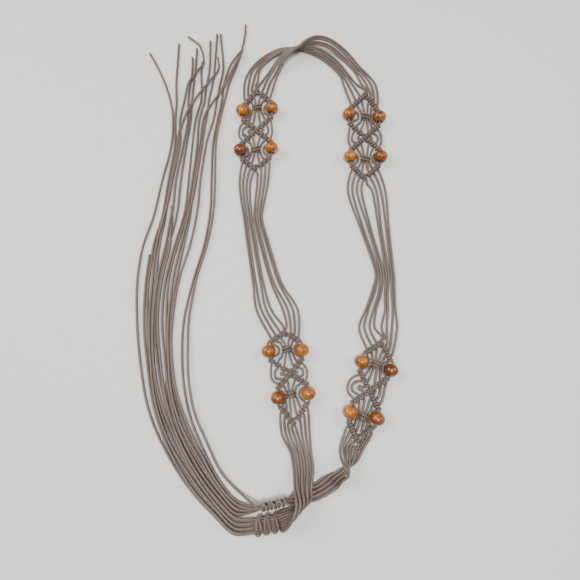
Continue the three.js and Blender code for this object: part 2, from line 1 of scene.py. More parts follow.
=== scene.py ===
"""A macrame belt laid out on a floor.

Eight waxed cords run the whole length of the belt. They are knotted into four panels with round wooden
beads, lie loose between the panels, and end in two short square-knot bars and two bunches of free tails.
Sizes and tables are in millimetres on the floor that the belt lies on, apart from the lights and the floor
itself, which are in metres, as the meshes are.
"""
import math

import bmesh
import bpy
import numpy as np
from mathutils import Matrix, Vector, kdtree


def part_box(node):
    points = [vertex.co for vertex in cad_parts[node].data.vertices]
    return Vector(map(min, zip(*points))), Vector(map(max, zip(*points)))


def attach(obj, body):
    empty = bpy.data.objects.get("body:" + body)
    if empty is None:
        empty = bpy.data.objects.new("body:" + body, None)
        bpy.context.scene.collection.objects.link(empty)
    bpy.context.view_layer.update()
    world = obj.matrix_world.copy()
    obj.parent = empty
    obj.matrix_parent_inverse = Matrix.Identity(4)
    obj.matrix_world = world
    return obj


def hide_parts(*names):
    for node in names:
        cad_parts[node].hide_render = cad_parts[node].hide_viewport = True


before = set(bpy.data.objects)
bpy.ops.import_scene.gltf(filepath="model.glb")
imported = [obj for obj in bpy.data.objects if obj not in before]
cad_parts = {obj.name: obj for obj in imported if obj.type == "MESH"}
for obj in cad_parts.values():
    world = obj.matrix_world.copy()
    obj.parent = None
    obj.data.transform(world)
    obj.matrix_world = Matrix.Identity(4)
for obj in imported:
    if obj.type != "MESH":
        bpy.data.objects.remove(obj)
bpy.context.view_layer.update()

# Sizes of the cords, slack and squeezed by a knot, and of the diamonds of their braid
CORDS = 8
CORD_RADIUS = 0.92
KNOT_CORD_RADIUS = 0.86
BRAID_PITCH = 2.3
BRAID_STRANDS = 4

# Sizes of the beads. Each is turned from a ball BALL_LENGTH long. The hole takes off the ball's ends as far
# as its ring HOLE_RING, counted from each pole, and with its rims eased the bead is about 8.5 long. Each is
# rolled BEAD_ROLL radians on from the last.
BEAD_RADIUS = 5.0
BALL_LENGTH = 9.384
BALL_SEGMENTS = 40
BALL_RINGS = 26
HOLE_RING = 3
RIM_WIDTH = 0.35
RIM_SEGMENTS = 3
BEAD_ROLL = 1.7

# A hitch. The cord wraps round its carrier WRAP_RADIUS from the carrier's middle, and takes up HITCH_LENGTH
# of the ridge, or HITCH_SHARE of a short one. It comes and goes HITCH_LEAD from the hitch's middle,
# LEAD_DEPTH behind the ridge's middle and HITCH_SKEW of the hitch's length along the ridge.
WRAP_RADIUS = 1.42
HITCH_LENGTH = 4.3
HITCH_SHARE = 0.27
HITCH_LEAD = 2.5
HITCH_SKEW = 0.06
LEAD_DEPTH = 0.8

# A panel: how high the middle of its ridges is with the front of the knots up (1) and down (-1), and where
# the short ridges at its ends and the long ones across it stop, measured from the middle of a bead
RIDGE_HEIGHT = {1: 2.9, -1: 2.4}
SHORT_RIDGE_END = {"inwards": 1.2, "along": 6.2}
LONG_RIDGE_END = {"inwards": 0.2, "along": 5.9}

# The cord between a bead and the square knot lies at most BEADSIDE_OUT from the panel's middle line, with
# BEADSIDE_GAP from its middle to the bead and BEADSIDE_DROP below the ridges' middle. It is followed at
# BEADSIDE_STEPS along the bead.
BEADSIDE_OUT = 5.7
BEADSIDE_GAP = 1.1
BEADSIDE_DROP = 0.4
BEADSIDE_STEPS = (-3, 0, 3)

# The cord through a bead runs straight over BEAD_WAY, and BEAD_LEAD further at each end
BEAD_WAY = 9.2
BEAD_LEAD = 0.9

# A square-knot bar: its knots, how far apart its middle cords lie, and at how many points they are followed.
# The tying cords leave it BAR_LEAD beyond its end, at BAR_LEAD_SHARE of their distance from its middle.
SINNET_KNOTS = 3
FILLER_PITCH = 1.6
FILLER_POINTS = 7
BAR_LEAD = 1.2
BAR_LEAD_SHARE = 0.8

# How finely the cords are followed: loose, and in knots and on stretches shorter than SHORT_STRETCH
LOOSE_STEP = 1.5
KNOT_STEP = 0.8
SHORT_STRETCH = 4

# How many times the loose stretches inside a panel are eased, and how far the cords between panels go
# together in pairs, as a share of the gap between them
EASE_ROUNDS = 12
PAIRING = 0.4

# Settling the loose cords. Every PAIR_ROUNDS rounds it looks for points that are less than PAIR_MARGIN from
# touching, on two cords or over PAIR_ALONG apart on one. The LAST_ROUNDS of them spread no shifts. Where a
# point is pushed several times in a round, PUSH_SHARE says how far the pushes are averaged.
SETTLE_ROUNDS = 60
PAIR_ROUNDS = 6
PAIR_MARGIN = 0.8
PAIR_ALONG = 7
LAST_ROUNDS = 8
PUSH_SHARE = 0.6

# The cords' meshes: sides round a cord, the length of cord that one unit of its map covers, over how many
# points each way its radius changes, and the dome on a cord's end, in shares of the radius
CORD_SIDES = 10
MAP_LENGTH = 10
RADIUS_BLEND = 3
DOME_HEIGHT = 0.35
DOME_BAND_HEIGHT = 0.3
DOME_BAND_RADIUS = 0.62

# The cords and the beads differ a little in tone, which goes up and down in steps from a start, in radians
CORD_TONE = {"step": 3.7, "start": 1.1}
BEAD_TONE = {"step": 2.3, "start": 0.4}

# The camera over the belt
CAMERA_DISTANCE = 320.0
CAMERA_ELEVATION = math.radians(80)
CAMERA_LENS = 27.0
CAMERA_SENSOR = 36
CAMERA_NEAR = 0.01

# Soft lights, in metres and watts, and the even light from all round
LIGHTS = {
    "window_left": {"place": (-1.1, 0.5, 1.0), "size": (1.1, 1.0), "power": 21},
    "window_right": {"place": (1.2, 0.3, 0.9), "size": (1.0, 1.0), "power": 11},
    "overhead": {"place": (0.02, -0.22, 1.3), "size": (0.26, 0.26), "power": 16},
}
SKY_COLOUR = (1.0, 0.98, 0.96, 1)
SKY_STRENGTH = 0.26

# The floor, in metres
FLOOR_SIZE = 6
FLOOR_DROP = 0.0001

# Panels between their top and tip, with beads upper left, upper right, lower left and lower right;
# face is 1 where the front of the knots is up and -1 where the back is up; sway is how far the loops at
# mid-panel hang over to the right, and lift how far each square knot sits above the middle of its beads
PANELS = {
    "a": {
        "top": (-26, 160.5), "tip": (-26.5, 93.5), "face": -1, "sway": -0.6, "lift": (3, 1),
        "beads": [(-37.2, 141.4), (-14.1, 143.8), (-38.4, 108.4), (-14.1, 109.9)],
    },
    "b": {
        "top": (60.3, 157.3), "tip": (57.5, 86), "face": 1, "sway": -0.5, "lift": (0.3, -1.2),
        "beads": [(46, 138.4), (69.8, 136), (46.1, 103), (69.8, 103)],
    },
    "c": {
        "top": (-3.2, -31), "tip": (2.7, -95), "face": -1, "sway": -0.2, "lift": (1, 1),
        "beads": [(-15.2, -44.8), (8.6, -44), (-8.6, -77), (13, -74)],
    },
    "d": {
        "top": (65.8, -38.5), "tip": (46.4, -105.5), "face": 1, "sway": -2.8, "lift": (0.8, -1),
        "beads": [(50.4, -52), (71, -58), (41.2, -86.5), (60.4, -91)],
    },
}
BEAD_PLACES = ("upper_left", "upper_right", "lower_left", "lower_right")

# Loose stretches: where cord 1 and cord 8 lie, the share of the width left open between cords 4 and 5,
# and how far every second cord rides off its neighbours
SPAN_A_C = [
    {"one": (-38.7, 83, 1), "eight": (-17, 83, 1), "split": 0.12, "stack": 0},
    {"one": (-35, 56, 1), "eight": (-21.2, 56, 1), "split": 0, "stack": 0.3},
    {"one": (-34.2, 51, 1), "eight": (-20.4, 51, 1), "split": 0, "stack": 0.3},
    {"one": (-32.4, 37, 1), "eight": (-16.2, 37, 1), "split": 0, "stack": 0.4},
    {"one": (-27.6, 5, 1), "eight": (-5.8, 5, 1), "split": 0.1, "stack": 0},
    {"one": (-24.4, -15, 1), "eight": (5.6, -15, 1), "split": 0.16, "stack": 0},
]
ARCH_A_B = [
    {"one": (-36.2, 169, 1), "eight": (-12, 169, 1), "split": 0, "stack": 0},
    {"one": (-32, 180, 1), "eight": (-8.5, 177, 2), "split": 0.2, "stack": 0},
    {"one": (-21.5, 191, 1.2), "eight": (-5, 183, 6), "split": 0.25, "stack": 0},
    {"one": (-8, 198.5, 1.2), "eight": (1, 188.5, 10.5), "split": 0, "stack": 0},
    {"one": (3.5, 199, 1.2), "eight": (7.5, 192.5, 12.5), "split": 0, "stack": 0},
    {"one": (9.5, 197, 1.2), "eight": (11.5, 195, 14.2), "split": 0, "stack": 0},
    {"one": (19, 193.5, 1.2), "eight": (20, 199.5, 13.8), "split": 0, "stack": 0},
    {"one": (28, 187.5, 1.2), "eight": (31, 201, 9.6), "split": 0.1, "stack": 0},
    {"one": (34.5, 181, 1.2), "eight": (43.5, 195.4, 5), "split": 0.1, "stack": 0},
    {"one": (40.6, 173.6, 1), "eight": (57, 181.5, 1), "split": 0.18, "stack": 0},
    {"one": (42.8, 166.6, 1), "eight": (68.2, 166.6, 1), "split": 0.02, "stack": 0},
]
SPAN_B_D = [
    {"one": (44.2, 78, 1), "eight": (72.6, 78, 1), "split": 0.14, "stack": 0},
    {"one": (53, 46, 1), "eight": (74.8, 46, 1), "split": 0.1, "stack": 0},
    {"one": (62.8, 15, 1), "eight": (76.4, 15, 1), "split": 0, "stack": 0.3},
    {"one": (63, 9, 1), "eight": (76.8, 9, 1), "split": 0, "stack": 0.3},
    {"one": (59, -4, 1), "eight": (77, -4, 1), "split": 0, "stack": 0},
    {"one": (54.6, -15, 1), "eight": (77.2, -15, 1), "split": 0.12, "stack": 0},
    {"one": (50, -28, 1), "eight": (77.4, -28, 1), "split": 0.04, "stack": 0},
]
END_C = [
    {"one": (-5.5, -102, 1), "eight": (13.6, -101, 1), "split": 0, "stack": 0},
    {"one": (0.4, -114, 1.5), "eight": (14.6, -114, 1.5), "split": 0, "stack": 0.4},
    {"one": (2.4, -125, 3.2), "eight": (15.8, -125, 3.2), "split": 0, "stack": 0.8},
    {"one": (3.2, -136, 8.6), "eight": (13.6, -136, 5.6), "split": 0, "stack": 1.7},
    {"one": (4.2, -144.5, 13.8), "eight": (12.6, -141.6, 5), "split": 0, "stack": 1.7},
    {"one": (2.4, -151, 15), "eight": (10, -147, 2), "split": 0, "stack": 0.8},
    {"one": (-0.4, -156.4, 13.4), "eight": (4.2, -148.2, 1), "split": 0, "stack": 0},
    {"one": (-3.6, -161, 8.4), "eight": (-1.8, -150, 1.2), "split": 0, "stack": 0},
]
END_D = [
    {"one": (34.6, -110.2, 2.4), "eight": (50.4, -111.2, 1), "split": 0, "stack": 0.4},
    {"one": (34.6, -117, 8), "eight": (44.8, -119, 1), "split": 0, "stack": 1.9},
    {"one": (36.8, -121.8, 12.4), "eight": (38.8, -122.2, 1), "split": 0, "stack": 1.9},
    {"one": (38.6, -126.5, 10.4), "eight": (30.6, -126, 1), "split": 0, "stack": 1.9},
    {"one": (35, -130.5, 6.6), "eight": (26.4, -127.8, 1), "split": 0, "stack": 1.9},
    {"one": (32.5, -135, 2.4), "eight": (23, -129.9, 1), "split": 0, "stack": 1.9},
    {"one": (25.5, -140, 1), "eight": (17.5, -133.6, 1), "split": 0, "stack": 1.9},
    {"one": (16.5, -144, 1), "eight": (12, -134.8, 1), "split": 0, "stack": 1.9},
    {"one": (8.8, -145, 1.2), "eight": (7.4, -135.4, 1), "split": 0, "stack": 1.9},
    {"one": (4.4, -144.8, 7.4), "eight": (4, -137.4, 1.1), "split": 0, "stack": 1.7},
]

# The square-knot bars run from start to end, with cord 1 on the edge that one points to and cord 8 on the
# other
SINNETS = {
    "lower": {"start": (-7, -157.4, 2.8), "end": (-23.5, -160, 2.8), "one": (0, -1, 0)},
    "upper": {"start": (-2.6, -143.8, 7.4), "end": (-18, -147.2, 7.2), "one": (0, 0.18, 0.98)},
}

# One square knot of a bar. The front tie is cord 1's and crosses over the six middle cords and back. The
# back tie is cord 8's, which comes up round each edge and crosses under them. Each row is how far along
# the bar the cord is from the knot's middle, how far towards cord 1's edge, and how high above the bar's
# middle.
FRONT_TIE = [
    {"along": -2.75, "across": 5.2, "up": -0.3},
    {"along": -2.2, "across": 4.0, "up": 1.2},
    {"along": -1.8, "across": 2.75, "up": 1.9},
    {"along": -1.4, "across": 0, "up": 2.05},
    {"along": -1.0, "across": -2.75, "up": 1.9},
    {"along": -0.7, "across": -4.35, "up": 1.1},
    {"along": -0.2, "across": -5.2, "up": 0},
    {"along": 0.5, "across": -4.35, "up": 1.1},
    {"along": 0.95, "across": -2.75, "up": 1.9},
    {"along": 1.35, "across": 0, "up": 2.05},
    {"along": 1.75, "across": 2.75, "up": 1.9},
    {"along": 2.1, "across": 4.35, "up": 1.1},
    {"along": 2.6, "across": 5.2, "up": 0},
]
BACK_TIE = [
    {"along": -2.75, "across": -5.5, "up": 0},
    {"along": -2.2, "across": -5.6, "up": 1.4},
    {"along": -1.2, "across": -5.6, "up": 1.9},
    {"along": -0.5, "across": -5.5, "up": 1.2},
    {"along": -0.2, "across": -4.9, "up": -0.4},
    {"along": -0.3, "across": -4.1, "up": -1.4},
    {"along": -0.6, "across": 0, "up": -2},
    {"along": -0.6, "across": 4.1, "up": -1.6},
    {"along": -0.3, "across": 5.5, "up": -0.4},
    {"along": 0.3, "across": 5.6, "up": 1.3},
    {"along": 1.2, "across": 5.6, "up": 1.9},
    {"along": 2.1, "across": 5.5, "up": 1.2},
    {"along": 2.4, "across": 4.9, "up": -0.4},
    {"along": 2.3, "across": 4.1, "up": -1.4},
    {"along": 2.2, "across": 0, "up": -2},
    {"along": 2.4, "across": -4.1, "up": -1.6},
]

# The free tails run side by side up the left, between an outer and an inner edge; stack is how far every
# second one lies above the floor's layer
TAIL_BED = [
    {"outer": (-36.7, -162.2), "inner": (-33.8, -139), "stack": 1.9},
    {"outer": (-50.4, -151.4), "inner": (-46.3, -126.5), "stack": 1.9},
    {"outer": (-67.2, -134.4), "inner": (-56.4, -107.5), "stack": 1.9},
    {"outer": (-83.8, -110.8), "inner": (-66.2, -86.6), "stack": 1.9},
    {"outer": (-96.8, -84.8), "inner": (-71.5, -64.8), "stack": 1.7},
    {"outer": (-105.6, -51.6), "inner": (-73, -40.3), "stack": 1.2},
    {"outer": (-110.5, -22.4), "inner": (-72.3, -20.9), "stack": 0.6},
    {"outer": (-112.5, 6.4), "inner": (-67.6, 8.6), "stack": 0.4},
    {"outer": (-109.8, 32.1), "inner": (-61.1, 35.2), "stack": 0.4},
    {"outer": (-103.2, 56.3), "inner": (-57.8, 62.6), "stack": 0.6},
    {"outer": (-98.7, 85.1), "inner": (-57.4, 89.2), "stack": 1.2},
    {"outer": (-93.6, 112.3), "inner": (-57, 116.5), "stack": 1.5},
    {"outer": (-92.6, 135.2), "inner": (-54.4, 136.9), "stack": 0.8},
]
BED_MIDDLE_ROW = 7

# Each tail's share of the way across that bed where it starts, at its middle and where it ends, how many
# of its rows the tail follows, how far the tail wanders sideways, and the points that lead on to its tip
TAILS_LOWER = [
    {"low": -0.14, "mid": 0, "high": 0.02, "rows": 13, "wander": 0.4,
     "tip": [(-94.6, 151, 1), (-99.6, 166.5, 1), (-106, 180.7, 1), (-113.6, 194.5, 1)]},
    {"low": -0.08, "mid": 0.17, "high": 0.1, "rows": 8, "wander": 0.8, "tip": [(-103.1, 26.8, 1)]},
    {"low": -0.02, "mid": 0.2, "high": 0.08, "rows": 13, "wander": -1.2,
     "tip": [(-90, 151, 1), (-91, 166.5, 1), (-90.6, 186.1, 1), (-90.4, 203.4, 1)]},
    {"low": 0.04, "mid": 0.245, "high": 0.16, "rows": 13, "wander": 1.2,
     "tip": [(-83.5, 153, 1.8), (-80.5, 166, 3.8), (-74, 176.5, 3.8), (-69.3, 184, 3.8),
             (-73, 200, 2.6), (-83.1, 209.8, 1)]},
    {"low": 0.1, "mid": 0.285, "high": 0.1, "rows": 12, "wander": -0.9,
     "tip": [(-85, 128, 3), (-80, 142, 4), (-70.5, 158.5, 4), (-62.5, 169.5, 4), (-57, 178, 4),
             (-57.8, 188.8, 4)]},
    {"low": 0.17, "mid": 0.33, "high": 0.3, "rows": 13, "wander": 1.3,
     "tip": [(-80.6, 157, 1), (-79, 173.6, 1), (-78.6, 184.3, 1), (-79, 191, 1)]},
    {"low": 0.23, "mid": 0.37, "high": 0.38, "rows": 13, "wander": -1,
     "tip": [(-77.6, 156, 1), (-76.5, 172.5, 1), (-75.8, 187, 1), (-75.6, 199, 1)]},
    {"low": 0.3, "mid": 0.41, "high": 0.42, "rows": 9, "wander": 0.8, "tip": [(-89.3, 64.2, 1)]},
]
TAILS_UPPER = [
    {"low": 0.37, "mid": 0.45, "high": 0.5, "rows": 5, "wander": 0.3, "tip": [(-86.6, -60.5, 1)]},
    {"low": 0.43, "mid": 0.49, "high": 0.51, "rows": 13, "wander": 1,
     "tip": [(-70.6, 152.4, 1), (-70.6, 163, 1), (-71.2, 178, 1), (-70.8, 187, 1)]},
    {"low": 0.49, "mid": 0.535, "high": 0.58, "rows": 13, "wander": -1.2,
     "tip": [(-68, 151, 1), (-66.9, 163.8, 1), (-64.7, 181, 1), (-64.9, 206.1, 1)]},
    {"low": 0.55, "mid": 0.58, "high": 0.69, "rows": 13, "wander": 1.1,
     "tip": [(-64.5, 152.4, 1), (-61.5, 170, 1), (-60.5, 187.9, 1), (-59.6, 212.1, 1)]},
    {"low": 0.61, "mid": 0.625, "high": 0.63, "rows": 13, "wander": -0.8,
     "tip": [(-61.8, 148, 2.8), (-55.4, 158, 3.8), (-50.4, 167.6, 3.8), (-45.4, 179, 3.8),
             (-39.6, 191.5, 3.8)]},
    {"low": 0.66, "mid": 0.67, "high": 0.83, "rows": 13, "wander": 1.2,
     "tip": [(-58.2, 152, 1), (-56, 166.5, 1), (-53.8, 180, 1), (-56.8, 212.1, 1)]},
    {"low": 0.72, "mid": 0.93, "high": 0.94, "rows": 13, "wander": -0.6,
     "tip": [(-54, 153, 1), (-52.5, 168, 1), (-47.4, 182.5, 3.4), (-38.1, 196.7, 3.4)]},
    {"low": 1, "mid": 0.985, "high": 1, "rows": 13, "wander": 0.5,
     "tip": [(-51.6, 153, 1), (-48.8, 166.5, 1), (-42.6, 184.3, 1), (-37.2, 207.7, 1), (-36.4, 220.9, 1)]},
]

# A free tail wanders from side to side in steps along the bed, each from its own start, in radians, and
# comes into its wander over the first rows
WANDER_STEP = 1.3
WANDER_START = 2.1
WANDER_ROWS = 3

# Half a double half hitch, followed every HITCH_STEP degrees round its carrier from HITCH_START: how far
# along the carrier the cord is, as a share of the hitch's length, and how much further in front of the
# carrier or behind it than the wrap alone. The other half is the same, turned half round.
HITCH_START = 67.5
HITCH_STEP = 45
HALF_HITCH = [
    {"along": -0.16, "reach": 1.0},
    {"along": -0.28, "reach": 1.0},
    {"along": -0.3, "reach": 1.0},
    {"along": -0.28, "reach": 1.0},
    {"along": -0.26, "reach": 1.0},
    {"along": -0.25, "reach": 1.0},
    {"along": -0.23, "reach": 1.0},
    {"along": -0.19, "reach": 1.2},
    {"along": -0.06, "reach": 1.45},
]

# The three cords on each side of a panel, from its edge inwards: what each does between the ridges, and
# where it is hitched, as a share of the short ridge from the top, of the long ridge before the crossing, of
# the long ridge after it, and of the short ridge to the tip; loop_out is how far out its loop at mid-panel
# hangs, and loop_share how much of the side between the long ridges the loop takes up
SIDE_CORDS = [
    {"role": "beside_bead", "top": 0.88, "before": 0.11, "after": 0.89, "tip": 0.12,
     "loop_out": 13.2, "loop_share": 0.9},
    {"role": "tie", "top": 0.6, "before": 0.4, "after": 0.6, "tip": 0.4,
     "loop_out": 10.3, "loop_share": 0.64},
    {"role": "filler", "top": 0.32, "before": 0.69, "after": 0.31, "tip": 0.68,
     "loop_out": 5.8, "loop_share": 0.3},
]

# The loop at mid-panel: how far along from its middle, as a share of its reach, and how far in from its
# furthest place each point is; and how far behind the ridges' middle the loop lies
LOOP = [
    {"along": -0.5, "inwards": 1.2},
    {"along": 0.05, "inwards": 0},
    {"along": 0.55, "inwards": 0.6},
]
LOOP_DEPTH = 0.6

# The square knots inside a panel: how far out on its own side a cord is, how far along from the knot's
# middle, and how far in front of the ridges' middle the left tying cord is. The right one is as far behind.
CENTRE_TIE = [
    {"out": 4, "along": -4.6, "front": 0},
    {"out": 3.3, "along": -2.4, "front": 0.3},
    {"out": 1.2, "along": -1.5, "front": 1.6},
    {"out": -1.2, "along": -0.9, "front": 1.6},
    {"out": -3, "along": -0.4, "front": 0.7},
    {"out": -3.1, "along": 0.4, "front": -0.5},
    {"out": -1.2, "along": 0.9, "front": -1.6},
    {"out": 1.2, "along": 1.5, "front": -1.6},
    {"out": 3.3, "along": 2.4, "front": -0.3},
    {"out": 4, "along": 4.6, "front": 0},
]
CENTRE_FILLER = [
    {"out": 1.25, "along": -3.8},
    {"out": 0.88, "along": -1.5},
    {"out": 0.88, "along": 1.5},
    {"out": 1.25, "along": 3.8},
]

# How cords 4 and 5 come to a panel's top, to the right and along from it, and how cord 5 leaves its tip
FOUR_ARRIVES = [(-1.3, -3.9), (-0.9, -1.9)]
FIVE_ARRIVES = (1.1, -3.4)
FIVE_LEAVES = [(1.2, 2.4), (1.5, 4.6)]

# Pieces whose names start so lie loose, and the way between a knotted piece and one of them is theirs
LOOSE = ("span", "arch", "end", "fringe")


def array(place):
    return np.array(place, float)


def unit(vector):
    return vector / max(np.linalg.norm(vector), 1e-9)


def meet(a, b, c, d):
    """How far along the line from a to b it meets the line from c to d, as a share of it."""
    u, v, w = b - a, d - c, c - a
    return (w[0] * v[1] - w[1] * v[0]) / (u[0] * v[1] - u[1] * v[0])


def tone_of(number, row):
    """A tone between 0 and 1 for one of several like things."""
    return 0.5 + 0.5 * math.sin(row["step"] * number + row["start"])


def ridge_ends(side, upper, lower):
    """Where the ridges on one side of a panel stop by its upper and its lower bead."""
    short, long = SHORT_RIDGE_END, LONG_RIDGE_END
    return {
        "top_leg": upper + (-side * short["inwards"], -short["along"]),
        "upper": upper + (-side * long["inwards"], long["along"]),
        "lower": lower + (-side * long["inwards"], -long["along"]),
        "tip_leg": lower + (-side * short["inwards"], short["along"]),
        "upper_bead": upper,
        "lower_bead": lower,
    }


class Panel:
    """One knotted panel. A key in it is (across to the right, along from the top)."""

    def __init__(self, name):
        row = PANELS[name]
        self.name = name
        self.face = row["face"]
        self.sway = row["sway"]
        self.axis = RIDGE_HEIGHT[self.face]
        self.origin = array(row["top"])
        tip = array(row["tip"]) - self.origin
        self.length = np.linalg.norm(tip)
        self.down = tip / self.length
        self.across = array((-self.down[1], self.down[0]))
        self.top = array((0, 0))
        self.tip = array((0, self.length))
        self.beads = [self.inside(place) for place in row["beads"]]
        upper_left, upper_right, lower_left, lower_right = self.beads
        self.upper_knot = (upper_left[1] + upper_right[1]) / 2 - row["lift"][0]
        self.lower_knot = (lower_left[1] + lower_right[1]) / 2 - row["lift"][1]
        self.left = ridge_ends(-1, upper_left, lower_left)
        self.right = ridge_ends(1, upper_right, lower_right)
        self.ridge_four = (self.left["upper"], self.right["lower"])
        self.ridge_five = (self.right["upper"], self.left["lower"])
        self.cross_four = meet(*self.ridge_four, *self.ridge_five)
        self.cross_five = meet(*self.ridge_five, *self.ridge_four)

    def inside(self, place):
        offset = array(place) - self.origin
        return array((offset @ self.across, offset @ self.down))

    def place(self, key, height):
        ground = self.origin + self.across * key[0] + self.down * key[1]
        return array((ground[0], ground[1], height))

    def point(self, key, front=0.0):
        """A place in the panel so far in front of the ridges' middle, or behind it below zero."""
        return self.place(key, self.axis + front * self.face)

    def hitch(self, start, end, share, arrive=None):
        """A cord hitched twice round a carrier that runs from start to end, at a share of its length."""
        run = unit(end - start)
        out = array((-run[1], run[0]))
        if out[1] < 0:
            out = -out
        centre = start + (end - start) * share
        length = min(HITCH_LENGTH, HITCH_SHARE * np.linalg.norm(end - start))
        # The cord comes and goes halfway between square to the ridge and straight down the panel
        lead = unit(out + (0, 1.0)) * HITCH_LEAD
        first = centre - lead - run * HITCH_SKEW * length if arrive is None else array(arrive)
        last = centre + lead + run * HITCH_SKEW * length
        turns = [(row["along"], row["reach"]) for row in HALF_HITCH]
        turns += [(-along, reach) for along, reach in reversed(turns)]
        steps = [(self.point(first, -LEAD_DEPTH), 1)]
        for number, (along, reach) in enumerate(turns):
            angle = math.radians(HITCH_START + HITCH_STEP * number)
            key = centre + run * along * length - out * WRAP_RADIUS * math.cos(angle)
            steps.append((self.point(key, -WRAP_RADIUS * reach * math.sin(angle)), 1))
        steps.append((self.point(last, -LEAD_DEPTH), 1))
        return steps

    def carrier(self, start, end, shares):
        """A cord that others are hitched round, at shares of the ridge from start to end."""
        return [(self.point(start + (end - start) * share), 1) for share in shares]

    def through_bead(self, bead):
        half = BEAD_WAY / 2
        steps = (-half - BEAD_LEAD, -half, 0, half, half + BEAD_LEAD)
        return [(self.place(bead + (0, step), BEAD_RADIUS), 1) for step in steps]

    def between_ridges(self, role, side, bead, middle):
        """A side cord between two ridges: past the bead, or in the square knot with that middle."""
        if role == "beside_bead":
            out = side * min(BEADSIDE_OUT, abs(bead[0]) - BEAD_RADIUS - BEADSIDE_GAP)
            height = self.axis - BEADSIDE_DROP
            return [(self.place((out, bead[1] + along), height), 0) for along in BEADSIDE_STEPS]
        if role == "filler":
            return [(self.point((side * row["out"], middle + row["along"])), 1) for row in CENTRE_FILLER]
        return [
            (self.point((side * row["out"], middle + row["along"]), -side * row["front"]), 1)
            for row in CENTRE_TIE
        ]

    def loop(self, side, reach, share):
        """A side cord's loose loop, from the long ridge before the crossing to the one after it."""
        ends = self.left if side < 0 else self.right
        low, high = ends["upper"][1], ends["lower"][1]
        middle, rise = (low + high) / 2, (high - low) / 2
        keys = [
            (side * (reach - row["inwards"]) + self.sway, middle + row["along"] * share * rise)
            for row in LOOP
        ]
        return [(self.point(key, -LOOP_DEPTH), 0) for key in keys]

    def side_strand(self, side, row):
        """A side cord, which is hitched to each ridge that it comes to."""
        ends = self.left if side < 0 else self.right
        crossings = [(self.ridge_four, self.cross_four), (self.ridge_five, self.cross_five)]
        (own, own_cross), (other, other_cross) = crossings if side < 0 else crossings[::-1]
        return (
            self.hitch(self.top, ends["top_leg"], row["top"])
            + self.between_ridges(row["role"], side, ends["upper_bead"], self.upper_knot)
            + self.hitch(*own, own_cross * row["before"])
            + self.loop(side, row["loop_out"], row["loop_share"])
            + self.hitch(*other, other_cross + (1 - other_cross) * row["after"])
            + self.between_ridges(row["role"], side, ends["lower_bead"], self.lower_knot)
            + self.hitch(ends["tip_leg"], self.tip, row["tip"])
        )

    def strand_four(self):
        """Cord 4 carries the ridges from the top to the left, down to the right, and back to the tip."""
        cross = self.cross_four
        before = [0.04] + [share * cross for share in (0.3, 0.6, 0.8)]
        after = [cross + (1 - cross) * share for share in (0.2, 0.4, 0.7, 0.96)]
        return (
            [(self.point(key), 1) for key in FOUR_ARRIVES]
            + self.carrier(self.top, self.left["top_leg"], (0.06, 0.3, 0.6, 0.9))
            + self.through_bead(self.left["upper_bead"])
            + self.carrier(*self.ridge_four, before)
            + self.hitch(*self.ridge_five, self.cross_five)
            + self.carrier(*self.ridge_four, after)
            + self.through_bead(self.right["lower_bead"])
            + self.carrier(self.right["tip_leg"], self.tip, (0.1, 0.4, 0.7))
            + self.hitch(self.left["tip_leg"], self.tip, 0.93)
        )

    def strand_five(self):
        """Cord 5 is hitched round cord 4 at the top, and carries the other ridges to the tip."""
        leaves = [(across, self.length + along) for across, along in FIVE_LEAVES]
        return (
            self.hitch(self.top, self.left["top_leg"], 0.07, arrive=FIVE_ARRIVES)
            + self.carrier(self.top, self.right["top_leg"], (0.22, 0.4, 0.6, 0.9))
            + self.through_bead(self.right["upper_bead"])
            + self.carrier(*self.ridge_five, (0.04, 0.25, 0.5, 0.75, 0.96))
            + self.through_bead(self.left["lower_bead"])
            + self.carrier(self.left["tip_leg"], self.tip, (0.1, 0.4, 0.7, 0.97))
            + [(self.point(key), 1) for key in leaves]
        )

    def strands(self):
        """The eight cords through the panel, each a list of (point, held)."""
        left = [self.side_strand(-1, row) for row in SIDE_CORDS]
        right = [self.side_strand(1, row) for row in SIDE_CORDS]
        return left + [self.strand_four(), self.strand_five()] + right[::-1]


def section_points(sections, index):
    """Where one cord lies at each section of a loose stretch."""
    centres = [(array(row["one"]) + array(row["eight"])) / 2 for row in sections]
    last = len(sections) - 1
    points = []
    for number, row in enumerate(sections):
        travel = unit(centres[min(last, number + 1)] - centres[max(0, number - 1)])
        across = array(row["eight"]) - array(row["one"])
        even = index / (CORDS - 1) * (1 - row["split"])
        share = even if index < CORDS / 2 else even + row["split"]
        off = unit(np.cross(travel, across))
        pitch = np.linalg.norm(across) * (1 - row["split"]) / (CORDS - 1)
        spare = max(0.0, pitch - 2 * CORD_RADIUS)
        pairing = PAIRING if 0 < number < last else 0.0
        together = unit(across) * spare * (pairing if index % 2 == 0 else -pairing)
        point = array(row["one"]) + across * share + together + off * (index % 2) * row["stack"]
        point[2] += max(0.0, -off[2]) * row["stack"]
        points.append((point, 0))
    return points


